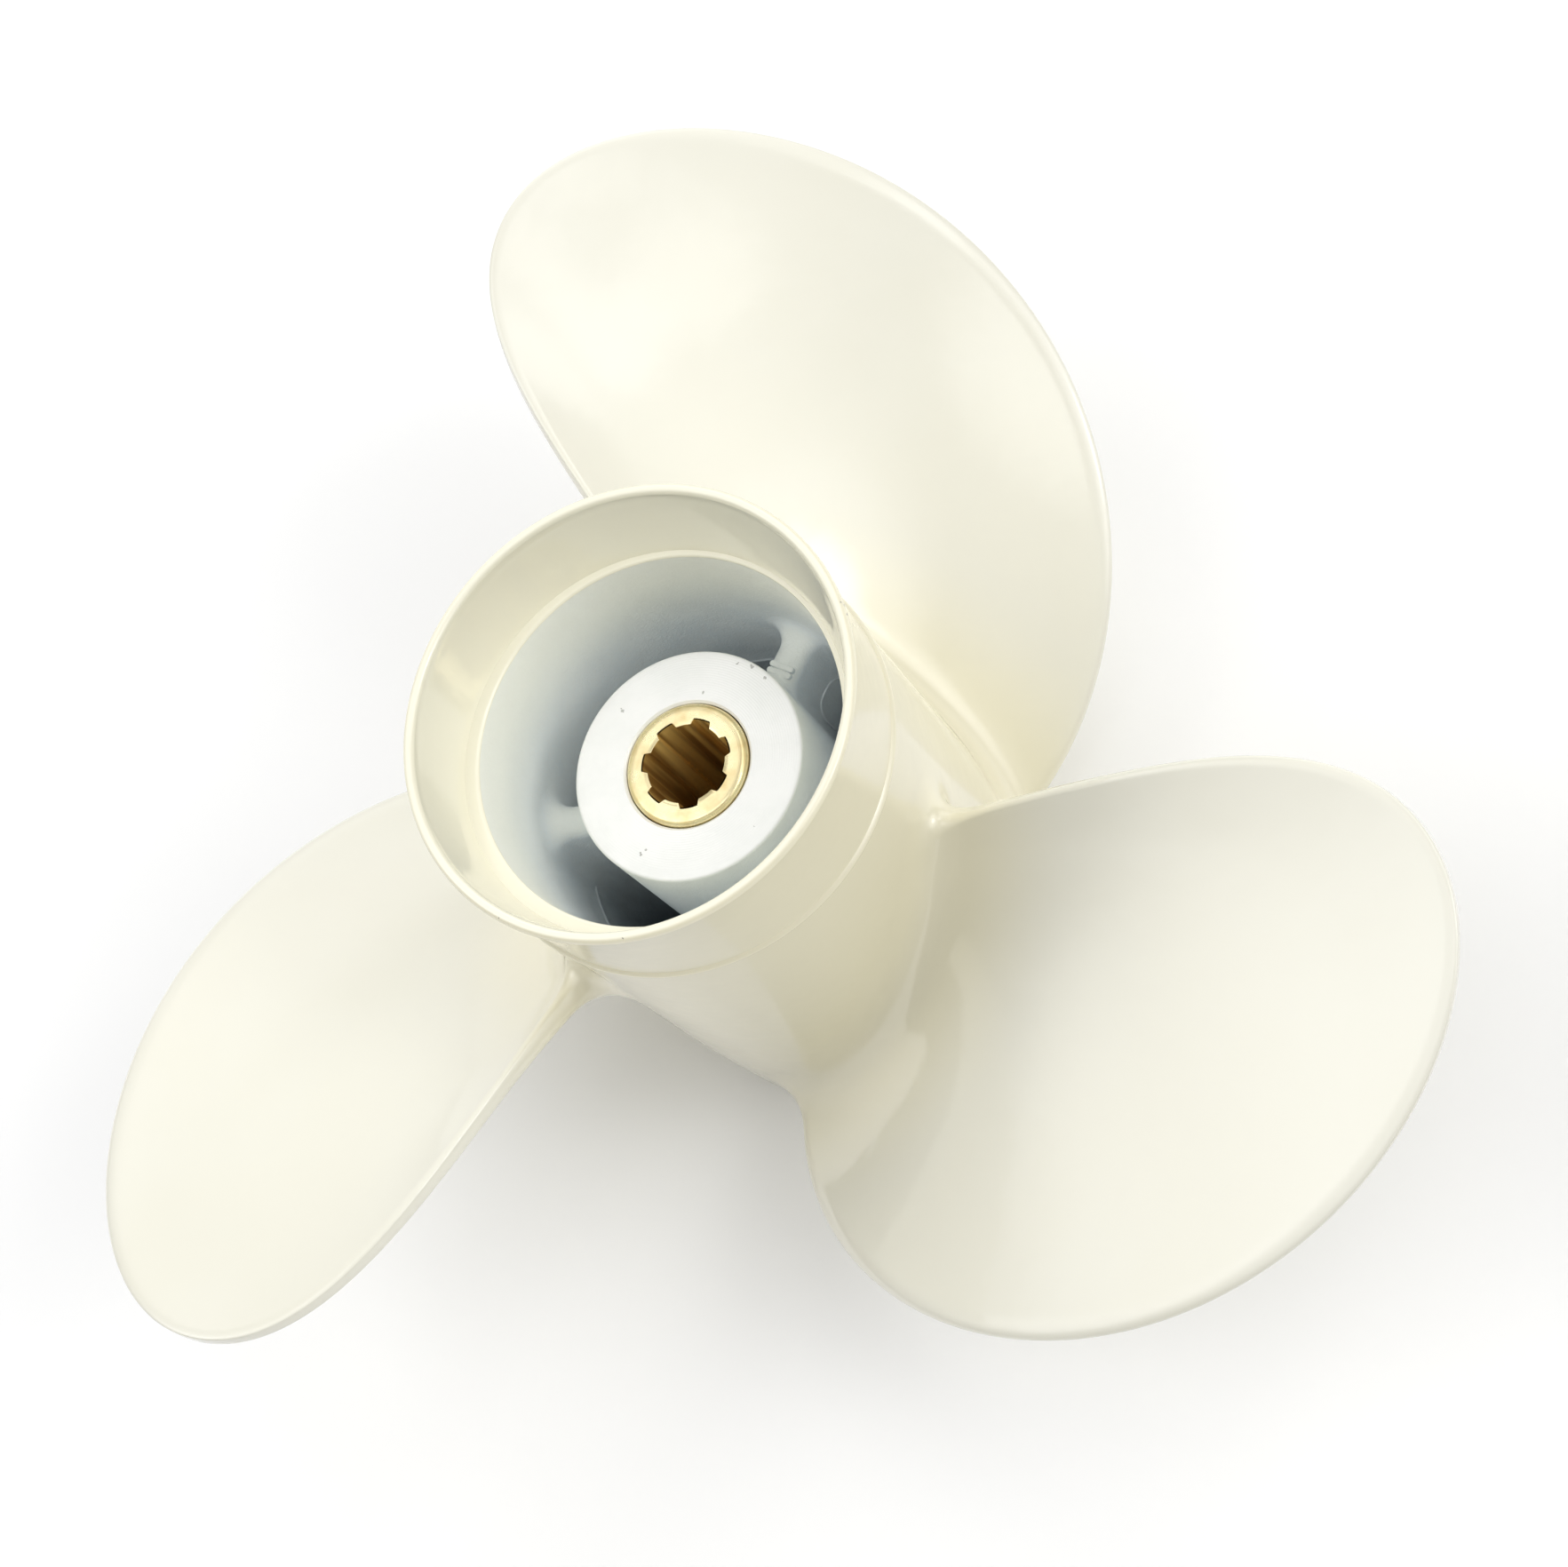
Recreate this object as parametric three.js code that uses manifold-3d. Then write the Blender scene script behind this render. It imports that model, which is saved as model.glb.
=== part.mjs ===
// A three-blade, right-hand outboard propeller with through-hub exhaust.
// Millimetres. The shaft axis is +Z and points aft; z = 0 is the forward end of the hub barrel.
// +X is the first blade's datum radius, where its face crosses datumHeight.
//
// The real propeller is three pieces: an aluminium casting, a rubber bush pressed into it and a
// splined brass sleeve bonded inside the bush. The casting is drawn as its simple bodies, so the
// barrel, the diffuser ring, the inner hub, each rib and each blade is a node of its own.

import * as THREE from 'three';
import { mergeVertices } from 'three/addons/utils/BufferGeometryUtils.js';
import Module from 'manifold-3d';

const wasm = await Module();
wasm.setup();

const gap = 0.3;                      // clearance between neighbouring nodes
const degrees = Math.PI / 180;

// Hub barrel and diffuser ring
const hubLength = 95.65;
const forwardRadius = 29.4;           // outside, at the forward end
const barrelRadius = 30.4;            // outside, along most of its length
const taperLength = 32;               // from the forward end to the full radius
const boreRadius = 26.2;              // exhaust passage, outer wall
const spigotRadius = 27.6;            // counterbore over the gearcase
const spigotDepth = 4;
const ridgeHeight = 76;               // where the diffuser ring starts
const lipRadius = 31.95;              // outermost edge of the diffuser ring
const lipBead = 0.8;                  // radius of the rounded lip
const throatRadius = 27.6;            // inside of the ring, where its cone meets the chamfer
const throatHeight = 84.2;
const breakEdge = 0.5;

// Inner hub, ribs, rubber bush and splined sleeve
const innerHubRadius = 16.7;
const innerHubStart = 8;
const innerHubEnd = 73.4;
const endWall = 4;                    // wall that closes the inner hub at its aft end
const sleeveRadius = 8.95;
const sleeveStart = 6;
const sleeveEnd = 73.9;
const sleeveHole = sleeveRadius + 0.3;
const bushRadius = 13.8;
const bushStart = 11;
const sleeveChamfer = 0.9;
const splineTeeth = 7;
const splineMajor = 6.45;
const splineMinor = 5.65;
const splineGroove = 2.75;            // width of one groove
const splineTurn = 21;                // degrees from +X to the middle of a groove
const ribCount = 3;
const ribThickness = 5;
const ribStart = 14;
const ribEnd = 61.5;
const ribTurn = 66;                   // degrees from +X to the first rib

// Blades
const bladeCount = 3;
const tipRadius = 108;
const pitch = 190.5;
const rake = Math.tan(12 * degrees);
const datumHeight = 61.1;             // height of the face on the datum radius, at the barrel
const rootMiddle = -52.9;             // middle of the root chord, degrees from the datum radius
const skew = 0.4;                     // degrees that the middle moves for each mm of radius
const rootSpan = 90.4;                // root chord, in degrees round the axis
const spanPower = 1.38;               // how the chord narrows towards the tip
const rootThickness = 7;
const tipThickness = 2.4;
const leadingEdge = 1.0;              // half the thickness of each edge
const trailingEdge = 1.2;
const rootFillet = 5.5;

const paint = { color: 0xece8d6, roughness: 0.25, metalness: 0.0 };
const castAluminium = { color: 0xa9b1b6, roughness: 0.6, metalness: 0.8 };
const brass = { color: 0xd9b45b, roughness: 0.3, metalness: 1.0 };
const rubber = { color: 0x1b1b1c, roughness: 0.85, metalness: 0.0 };

const propeller = new THREE.Group();

function addPart(name, geometry, finish) {
  const mesh = new THREE.Mesh(geometry, new THREE.MeshStandardMaterial(finish));
  mesh.name = name;
  propeller.add(mesh);
  return mesh;
}

// A body of revolution about Z, from a closed outline of [radius, height] points.
function revolve(outline, segments) {
  const points = outline.map(([radius, height]) => new THREE.Vector2(radius, height));
  points.push(points[0].clone());
  return new THREE.LatheGeometry(points, segments).rotateX(Math.PI / 2);
}

// Points along an arc in the radius-height plane, angles in degrees.
function arc(radius, height, size, from, to, steps) {
  return Array.from({ length: steps + 1 }, (_, i) => {
    const angle = (from + (to - from) * i / steps) * degrees;
    return [radius + size * Math.cos(angle), height + size * Math.sin(angle)];
  });
}

function toSolid(geometry) {
  geometry.deleteAttribute('normal');
  geometry.deleteAttribute('uv');
  const merged = mergeVertices(geometry, 1e-4);
  return new wasm.Manifold(new wasm.Mesh({
    numProp: 3,
    vertProperties: new Float32Array(merged.attributes.position.array),
    triVerts: new Uint32Array(merged.index.array),
  }));
}

function toGeometry(solid) {
  const mesh = solid.getMesh();
  const geometry = new THREE.BufferGeometry();
  geometry.setAttribute('position', new THREE.BufferAttribute(mesh.vertProperties, 3));
  geometry.setIndex(new THREE.BufferAttribute(mesh.triVerts, 1));
  geometry.computeVertexNormals();
  return geometry;
}

function hubBarrel() {
  const top = ridgeHeight - gap / 2;
  return revolve([
    [spigotRadius, 0],
    [forwardRadius - breakEdge, 0],
    [forwardRadius, breakEdge],
    [(forwardRadius + barrelRadius) / 2, taperLength * 0.3],
    [barrelRadius, taperLength],
    [barrelRadius, top],
    [boreRadius, top],
    [boreRadius, spigotDepth],
    [spigotRadius, spigotDepth],
  ], 60);
}

function diffuserRing() {
  const bottom = ridgeHeight + gap / 2;
  const beadRadius = lipRadius - lipBead;
  const beadHeight = hubLength - lipBead;
  return revolve([
    [boreRadius, bottom],
    [barrelRadius, bottom],
    [barrelRadius + 0.5, (bottom + beadHeight) / 2],
    ...arc(beadRadius, beadHeight, lipBead, -15, 180, 7),
    [throatRadius, throatHeight],
    [boreRadius, throatHeight - (throatRadius - boreRadius)],
  ], 60);
}

// A cup over the bush: open forward, closed aft but for the sleeve's clearance hole.
function innerHub() {
  return revolve([
    [bushRadius + gap, innerHubStart],
    [innerHubRadius - breakEdge, innerHubStart],
    [innerHubRadius, innerHubStart + breakEdge],
    [innerHubRadius, innerHubEnd - breakEdge],
    [innerHubRadius - breakEdge, innerHubEnd],
    [sleeveHole, innerHubEnd],
    [sleeveHole, innerHubEnd - endWall],
    [bushRadius + gap, innerHubEnd - endWall],
  ], 48);
}

// A plate from the inner hub to the barrel, with a rounded aft edge.
function rib() {
  const from = innerHubRadius + gap;
  const to = boreRadius - 2 * gap;
  const half = ribThickness / 2;
  const outline = new THREE.Shape();
  outline.moveTo(-half, ribStart);
  outline.lineTo(half, ribStart);
  outline.lineTo(half, ribEnd - half);
  outline.absarc(0, ribEnd - half, half, 0, Math.PI, false);
  const plate = new THREE.ExtrudeGeometry(outline,
    { depth: to - from, bevelEnabled: false, curveSegments: 5 });
  return plate.translate(0, 0, from).applyMatrix4(new THREE.Matrix4().makeBasis(
    new THREE.Vector3(0, 1, 0), new THREE.Vector3(0, 0, 1), new THREE.Vector3(1, 0, 0)));
}

function rubberBush() {
  const top = innerHubEnd - endWall - 1;
  const dish = 1.5;                   // the moulded ends are hollow between their two rims
  const inner = sleeveRadius + gap;
  const middle = (inner + bushRadius) / 2;
  return revolve([
    [inner, bushStart],
    [middle, bushStart + dish],
    [bushRadius, bushStart],
    [bushRadius, top],
    [middle, top - dish],
    [inner, top],
  ], 48);
}

// One round of the spline bore: a groove, then the land up to the next groove.
function splineOutline() {
  const shape = new THREE.Shape();
  const step = 2 * Math.PI / splineTeeth;
  const outer = Math.asin(splineGroove / 2 / splineMajor);
  const inner = Math.asin(splineGroove / 2 / splineMinor);
  for (let tooth = 0; tooth < splineTeeth; tooth++) {
    const middle = splineTurn * degrees + tooth * step;
    shape.absarc(0, 0, splineMajor, middle - outer, middle + outer, false);
    shape.absarc(0, 0, splineMinor, middle + inner, middle + step - inner, false);
  }
  shape.closePath();
  return shape;
}

function splinedSleeve() {
  const body = revolve([
    [0, sleeveStart],
    [sleeveRadius - sleeveChamfer, sleeveStart],
    [sleeveRadius, sleeveStart + sleeveChamfer],
    [sleeveRadius, sleeveEnd - sleeveChamfer],
    [sleeveRadius - sleeveChamfer, sleeveEnd],
    [0, sleeveEnd],
  ], 48);
  const overrun = 2;
  const cutter = new THREE.ExtrudeGeometry(splineOutline(),
    { depth: sleeveEnd - sleeveStart + 2 * overrun, bevelEnabled: false, curveSegments: 3 });
  cutter.translate(0, 0, sleeveStart - overrun);
  return toGeometry(toSolid(body).subtract(toSolid(cutter)));
}

// Outside radius of the barrel at a height.
function barrelOutside(height) {
  const short = Math.max(1 - height / taperLength, 0);
  return barrelRadius - (barrelRadius - forwardRadius) * short ** 2;
}

// One closed section of a blade, as [x, y, z] points that run from the leading edge along the back
// to the trailing edge and return along the face. reach goes from 0 at the root to 1 at the tip.
// scale thins the section down to its middle line, and fillet grows it outwards.
function bladeSection(reach, columns, scale, fillet) {
  const root = barrelRadius + gap;
  const radius = root + (tipRadius - root) * reach;
  const quarter = Math.asin(Math.pow(reach, spanPower / 2));
  const middle = rootMiddle + skew * (radius - barrelRadius);
  const halfSpan = rootSpan / 2 * Math.cos(quarter);
  const slope = Math.atan(pitch / (2 * Math.PI * radius));
  const rootHalfChord = rootSpan / 2 * degrees * root * Math.SQRT2;
  const thickness = tipThickness + (rootThickness - tipThickness) * (1 - reach);
  const section = [];
  for (let i = 0; i < 2 * columns; i++) {
    const across = -Math.cos(Math.PI * i / columns);
    const edge = leadingEdge + (trailingEdge - leadingEdge) * (1 + across) / 2;
    const fullness = 1 - across ** 2;
    // the outline is close to half an ellipse, so its distance is taken from that
    const steepness = Math.hypot(across * Math.cos(quarter) / rootHalfChord,
      Math.sin(quarter) / (tipRadius - root));
    const inset = Math.cos(quarter) ** 2 * fullness / (2 * steepness + 1e-6);
    const rounding = Math.sqrt(1 - (1 - Math.min(inset / edge, 1)) ** 2);
    const face = edge * rounding;
    const back = -(edge + Math.max(thickness - 2 * edge, 0) * fullness) * rounding;
    section.push({
      along: (middle + across * halfSpan) * degrees * radius / Math.cos(slope),
      offset: (i > columns ? face : back) * scale,
    });
  }
  return grow(section, fillet).map(({ along, offset }) => {
    const angle = (along * Math.cos(slope) - offset * Math.sin(slope)) / radius;
    const height = datumHeight + rake * (radius - barrelRadius)
      + along * Math.sin(slope) + offset * Math.cos(slope);
    const local = radius - (barrelRadius - barrelOutside(height)) * (1 - reach) ** 4;
    return [local * Math.cos(angle), local * Math.sin(angle), height];
  });
}

// Moves a closed section outwards along its normals.
function grow(section, distance) {
  const count = section.length;
  return section.map(({ along, offset }, i) => {
    const before = section[(i + count - 1) % count];
    const after = section[(i + 1) % count];
    const alongStep = after.along - before.along;
    const offsetStep = after.offset - before.offset;
    const length = Math.hypot(alongStep, offsetStep) || 1;
    return {
      along: along + distance * offsetStep / length,
      offset: offset - distance * alongStep / length,
    };
  });
}

// Joins closed rows of equal length into a body. Its first and last rows are already shut.
function loft(rows) {
  const columns = rows[0].length;
  const vertices = rows.flat(2);
  const index = [];
  for (let row = 0; row + 1 < rows.length; row++) {
    for (let i = 0; i < columns; i++) {
      const next = (i + 1) % columns;
      const [a, b] = [row * columns + i, row * columns + next];
      const [c, d] = [a + columns, b + columns];
      index.push(a, b, d, a, d, c);
    }
  }
  const grid = new THREE.BufferGeometry();
  grid.setAttribute('position', new THREE.Float32BufferAttribute(vertices, 3));
  grid.setIndex(index);
  const merged = mergeVertices(grid, 1e-4);
  const kept = [];
  for (let i = 0; i < merged.index.count; i += 3) {
    const corners = [0, 1, 2].map((corner) => merged.index.getX(i + corner));
    if (new Set(corners).size === 3) kept.push(...corners);
  }
  merged.setIndex(kept);
  merged.computeVertexNormals();
  return merged;
}

function blade() {
  const columns = 24;
  const capRows = 3;
  const filletRows = 4;
  const bodyRows = 14;
  const height = tipRadius - barrelRadius - gap;
  const rows = [];
  for (let i = 0; i < capRows; i++) {
    rows.push(bladeSection(0, columns, i / capRows, rootFillet * i / capRows));
  }
  for (let i = 0; i < filletRows; i++) {
    const turn = Math.PI / 2 * i / filletRows;
    const reach = rootFillet * (1 - Math.cos(turn)) / height;
    rows.push(bladeSection(reach, columns, 1, rootFillet * (1 - Math.sin(turn))));
  }
  const start = Math.asin(Math.pow(rootFillet / height, spanPower / 2));
  for (let i = 0; i <= bodyRows; i++) {
    const quarter = start + (Math.PI / 2 - start) * i / bodyRows;
    rows.push(bladeSection(Math.pow(Math.sin(quarter), 2 / spanPower), columns, 1, 0));
  }
  return loft(rows);
}

addPart('hub_barrel', hubBarrel(), paint);
addPart('diffuser_ring', diffuserRing(), paint);
addPart('inner_hub', innerHub(), castAluminium);
for (let i = 0; i < ribCount; i++) {
  const part = addPart(`rib_${i + 1}`, rib(), castAluminium);
  part.rotation.z = ribTurn * degrees + i * 2 * Math.PI / ribCount;
}
for (let i = 0; i < bladeCount; i++) {
  const part = addPart(`blade_${i + 1}`, blade(), paint);
  part.rotation.z = i * 2 * Math.PI / bladeCount;
}
addPart('rubber_bush', rubberBush(), rubber);
addPart('splined_sleeve', splinedSleeve(), brass);

export default propeller;
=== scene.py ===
"""The looks of an outboard propeller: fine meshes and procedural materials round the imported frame.

Named lengths are in millimetres and named turns in degrees. The shaft axis is +Z and points aft.
"""

import math

import bmesh
import bpy
import numpy as np
from mathutils import Matrix, Vector


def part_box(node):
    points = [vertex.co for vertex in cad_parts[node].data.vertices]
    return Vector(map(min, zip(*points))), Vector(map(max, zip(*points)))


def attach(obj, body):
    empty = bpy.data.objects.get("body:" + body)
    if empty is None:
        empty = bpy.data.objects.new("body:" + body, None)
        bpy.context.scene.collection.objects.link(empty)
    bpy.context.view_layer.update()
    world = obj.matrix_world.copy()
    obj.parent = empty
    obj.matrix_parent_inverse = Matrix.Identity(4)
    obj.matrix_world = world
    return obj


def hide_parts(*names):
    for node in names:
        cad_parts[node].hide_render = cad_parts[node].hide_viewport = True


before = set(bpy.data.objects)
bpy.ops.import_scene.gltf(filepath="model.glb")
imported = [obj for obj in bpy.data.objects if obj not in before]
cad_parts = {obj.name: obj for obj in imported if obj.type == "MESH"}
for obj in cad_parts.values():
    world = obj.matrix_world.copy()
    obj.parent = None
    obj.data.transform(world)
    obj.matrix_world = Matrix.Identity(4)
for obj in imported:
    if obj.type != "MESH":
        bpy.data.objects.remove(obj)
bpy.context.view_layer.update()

MM = 0.001

# Points closer than this are one, and edges that turn more than this look sharp
MERGE_DISTANCE = 0.0005
SHARP_TURN = 38


def side(node):
    """Outside radius of a round CAD node."""
    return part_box(node)[1].x / MM


def top(node):
    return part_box(node)[1].z / MM


def bottom(node):
    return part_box(node)[0].z / MM


# Outside of the hub barrel and diffuser ring, which are one skin here
HUB_LENGTH = top("diffuser_ring")
LIP_RADIUS = side("diffuser_ring")
LIP_BEAD = 0.8
LIP_START = -15
LIP_END = 188
BARREL_RADIUS = side("hub_barrel")
FORWARD_RADIUS = BARREL_RADIUS - 1.0
TAPER_LENGTH = 32.0
EDGE_ROUND = 0.8
RIDGE_HEIGHT = (top("hub_barrel") + bottom("diffuser_ring")) / 2
RIDGE_RISE = 0.5
RIDGE_HALF_WIDTH = 0.65

# Inside of the same skin: a cone down to the throat, a step, the bore and the gearcase's recess
THROAT_RADIUS = 27.6
THROAT_HEIGHT = 84.2
CONE_HOLLOW = 0.15
STEP_ROUND = 0.45
STEP_HEIGHT = THROAT_HEIGHT - STEP_ROUND
BORE_RADIUS = 26.2
RECESS_RADIUS = 27.6
RECESS_DEPTH = 4.0
RECESS_CHAMFER = 0.3

# The core of the throat sat to one side, so the step is wider there
CORE_SHIFT = 0.7
CORE_SHIFT_TURN = -140.0

# The line round the bore where two cores met
CORE_LINE_HEIGHT = 46.5
CORE_LINE_RISE = 0.22
CORE_LINE_HALF_WIDTH = 0.45

# Inner hub, sleeve and bush
HUB_RADIUS = side("inner_hub")
HUB_START = bottom("inner_hub")
HUB_END = top("inner_hub")
HUB_WALL = 4.0
HUB_EDGE = 0.45
SLEEVE_RADIUS = side("splined_sleeve")
SLEEVE_START = bottom("splined_sleeve")
SLEEVE_END = top("splined_sleeve")
SLEEVE_HOLE = SLEEVE_RADIUS + 0.15
SLEEVE_CHAMFER = 1.0
HOLE_CHAMFER = 0.35
BUSH_RADIUS = side("rubber_bush")
BUSH_START = bottom("rubber_bush")
BUSH_END = top("rubber_bush")
BUSH_BORE = BUSH_RADIUS + 0.3
BUSH_BORE_CHAMFER = 0.4
BUSH_CHAMFER = 0.3
TOUCH = 0.02

# Splined bore of the sleeve
SPLINE_TEETH = 7
SPLINE_MAJOR = 6.45
SPLINE_MINOR = 5.65
SPLINE_CHAMFER = 0.14
GROOVE_FLOOR = 2.3
GROOVE_MOUTH = 3.15
GROOVE_TURN = 21.0

# Ribs
RIB_COUNT = 3
RIB_TURN = 66.0
RIB_THICKNESS = 5.0
RIB_START = bottom("rib_1")
RIB_END = top("rib_1")
RIB_FILLET = 3.4
RIB_SINK = 0.15
RIB_CROWN = 0.8

# Two low bars across the aft end of the first rib, where the metal was poured
GATE_MARK_WIDTH = 3.9
GATE_MARK_DEPTH = 0.85
GATE_MARK_RISE = 0.22
GATE_MARKS = {"gate_mark_inner": 19.15, "gate_mark_outer": 20.15}

# The arched flash on one side of the first rib
ARCH_RADIUS = 3.4
ARCH_PLACE = (21.3, 47.8)
ARCH_LEG = 5.0
ARCH_THICKNESS = 0.2

# Blades, whose tips stay just inside the CAD box
BLADE_COUNT = 3
CAD_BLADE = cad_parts["blade_1"].data
TIP_RADIUS = max(vertex.co.xy.length for vertex in CAD_BLADE.vertices) / MM - 0.32
PITCH = 190.5
RAKE = math.tan(math.radians(12))
DATUM_HEIGHT = 61.1
ROOT_MIDDLE = -52.9
SKEW = 0.4
ROOT_SPAN = 90.4
SPAN_POWER = 1.38
ROOT_THICKNESS = 7.0
TIP_THICKNESS = 2.4
ROOT_FILLET = 8.0
ROOT_FILLET_POWER = 2.8
ROOT_SINK = 0.004

# Rows inside the barrel's wall: how far past the fillet, and how deep
FOOT_ROWS = [(1.6, 0.8), (1.0, 0.03)]
FOOT_LIMIT = 1.0

# Edges of the blades, which are fuller and longer near the root
LEADING_EDGE = {"half": 1.0, "length": 2.6, "round": 1.0}
TRAILING_EDGE = {"half": 1.25, "length": 0.7, "round": 0.5}
ROOT_EDGE_GAIN = 0.9
ROOT_EDGE_GAIN_REACH = 0.3
ROOT_EDGE_LENGTH = 2.0
ROOT_EDGE_LENGTH_REACH = 0.14

# The trailing edge turns up towards the pressure face
CUP_RISE = 0.55
CUP_LENGTH = 7.0


# ---------------------------------------------------------------- mesh helpers

def arc(radius, height, size, start, end, steps):
    """(radius, height) points on an arc of that size about a centre, with its angles in degrees."""
    angles = np.radians(np.linspace(start, end, steps + 1))
    return [(radius + size * math.cos(a), height + size * math.sin(a)) for a in angles]


def ring_rows(rings, segments):
    """One closed row of points for each (radius, height). A radius may be a function of the angle."""
    turn = np.arange(segments) * 2 * math.pi / segments
    rows = []
    for radius, height in rings:
        around = radius(turn) if callable(radius) else np.full(segments, float(radius))
        level = np.full(segments, height)
        rows.append(np.stack([around * np.cos(turn), around * np.sin(turn), level], 1))
    return rows


def strip(row, rows, columns):
    """Quads from one row of a grid of closed rows to the next, which may be the first again."""
    first = row * columns
    second = (row + 1) % rows * columns
    quads = []
    for column in range(columns):
        following = (column + 1) % columns
        quads.append((first + column, first + following, second + following, second + column))
    return quads


def end_cap(row, columns):
    """Quads that close a row of an even number of points by joining its two sides."""
    first = row * columns
    quads = []
    for column in range(columns // 2):
        opposite = columns - column
        quads.append((first + column, first + column + 1,
                      first + (opposite - 1) % columns, first + opposite % columns))
    return quads


def piece(name, rows, closed, finishes, body, replaced, finish_of=None):
    """Adds a closed mesh from rows of points, which rides on its body and stands for its CAD nodes.

    closed joins the last row to the first; otherwise both ends get a cap. finish_of picks a finish
    for each face from its centre and normal.
    """
    columns = len(rows[0])
    count = len(rows)
    faces = []
    for row in range(count if closed else count - 1):
        faces += strip(row, count, columns)
    if not closed:
        faces += end_cap(0, columns) + end_cap(count - 1, columns)
    mesh = bpy.data.meshes.new(name)
    mesh.from_pydata((np.concatenate(rows) * MM).tolist(), [], faces)
    tidy = bmesh.new()
    tidy.from_mesh(mesh)
    bmesh.ops.remove_doubles(tidy, verts=tidy.verts, dist=MERGE_DISTANCE * MM)
    bmesh.ops.dissolve_degenerate(tidy, edges=tidy.edges, dist=MERGE_DISTANCE * 0.4 * MM)
    bmesh.ops.recalc_face_normals(tidy, faces=tidy.faces)
    for face in tidy.faces:
        face.smooth = True
        if finish_of:
            face.material_index = finish_of(face.calc_center_median() / MM, face.normal)
    tidy.to_mesh(mesh)
    tidy.free()
    mesh.set_sharp_from_angle(angle=math.radians(SHARP_TURN))
    for finish in finishes:
        mesh.materials.append(finish)
    made = bpy.data.objects.new(name, mesh)
    bpy.context.scene.collection.objects.link(made)
    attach(made, body)
    if replaced:
        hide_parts(*replaced)


def turned(points, degrees):
    """Points turned about the shaft axis."""
    cosine, sine = math.cos(math.radians(degrees)), math.sin(math.radians(degrees))
    matrix = np.array([[cosine, -sine, 0], [sine, cosine, 0], [0, 0, 1]])
    return points @ matrix.T


# ---------------------------------------------------------------- material helpers

class Finish:
    """A Principled material with short calls for the nodes that the finishes share.

    Its point is the place on the object in millimetres.
    """

    def __init__(self, name):
        self.material = bpy.data.materials.new(name)
        self.material.use_nodes = True
        self.tree = self.material.node_tree
        self.shader = self.tree.nodes["Principled BSDF"]
        place = self.tree.nodes.new("ShaderNodeTexCoord").outputs["Object"]
        scaled = self.tree.nodes.new("ShaderNodeVectorMath")
        scaled.operation = "SCALE"
        self.link(place, scaled.inputs[0])
        scaled.inputs["Scale"].default_value = 1 / MM
        self.point = scaled.outputs["Vector"]
        parts = self.tree.nodes.new("ShaderNodeSeparateXYZ")
        self.link(self.point, parts.inputs[0])
        self.height = parts.outputs["Z"]

    def link(self, source, target):
        """Feeds a socket from another socket, or from a plain value."""
        if isinstance(source, bpy.types.NodeSocket):
            self.tree.links.new(source, target)
        else:
            target.default_value = source

    def set(self, **values):
        for name, value in values.items():
            self.link(value, self.shader.inputs[name.replace("_", " ")])

    def maths(self, operation, first, second=0.0, third=0.0):
        node = self.tree.nodes.new("ShaderNodeMath")
        node.operation = operation
        for socket, value in zip(node.inputs, (first, second, third)):
            self.link(value, socket)
        return node.outputs[0]

    def vector(self, operation, first, second=(0, 0, 0)):
        node = self.tree.nodes.new("ShaderNodeVectorMath")
        node.operation = operation
        self.link(first, node.inputs[0])
        self.link(second, node.inputs[1])
        return node.outputs["Value"] if operation in ("LENGTH", "DISTANCE") else node.outputs["Vector"]

    def noise(self, size, detail=3.0, roughness=0.55, point=None):
        """Noise from 0 to 1 whose features are about size millimetres."""
        node = self.tree.nodes.new("ShaderNodeTexNoise")
        self.link(point or self.point, node.inputs["Vector"])
        node.inputs["Scale"].default_value = 1 / size
        node.inputs["Detail"].default_value = detail
        node.inputs["Roughness"].default_value = roughness
        return node.outputs["Fac"]

    def ramp(self, value, low, high, start=0.0, end=1.0):
        """Goes smoothly from start to end as value goes from low to high."""
        node = self.tree.nodes.new("ShaderNodeMapRange")
        node.interpolation_type = "SMOOTHSTEP"
        self.link(value, node.inputs["Value"])
        for name, number in (("From Min", low), ("From Max", high), ("To Min", start), ("To Max", end)):
            self.link(number, node.inputs[name])
        return node.outputs["Result"]

    def mix(self, amount, first, second):
        node = self.tree.nodes.new("ShaderNodeMix")
        node.data_type = "RGBA"
        self.link(amount, node.inputs["Factor"])
        colours = [socket for socket in node.inputs if socket.type == "RGBA"]
        self.link(first, colours[0])
        self.link(second, colours[1])
        return [socket for socket in node.outputs if socket.type == "RGBA"][0]

    def radius(self):
        """Distance from the shaft axis."""
        flat = self.vector("MULTIPLY", self.point, (1, 1, 0))
        return self.vector("LENGTH", flat)

    def spots(self, places):
        """1 inside ragged spots given as (x, y, z, size), 0 elsewhere."""
        raggedness = 0.9
        shift = self.tree.nodes.new("ShaderNodeTexNoise")
        self.link(self.point, shift.inputs["Vector"])
        shift.inputs["Scale"].default_value = 1.6
        ragged = self.vector("MULTIPLY", shift.outputs["Color"], (raggedness, raggedness, raggedness))
        moved = self.vector("ADD", ragged, self.point)
        found = 0.0
        for *place, size in places:
            middle = [coordinate + raggedness / 2 for coordinate in place]
            away = self.vector("DISTANCE", moved, middle)
            found = self.maths("MAXIMUM", found, self.ramp(away, size * 0.8, size * 1.1, 1.0, 0.0))
        return found

    def bump(self, height, depth, under=None):
        """A bump of that depth in millimetres, on top of another bump."""
        node = self.tree.nodes.new("ShaderNodeBump")
        self.link(height, node.inputs["Height"])
        node.inputs["Strength"].default_value = 1.0
        node.inputs["Distance"].default_value = depth * MM
        if under:
            self.link(under, node.inputs["Normal"])
        return node.outputs["Normal"]


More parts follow.
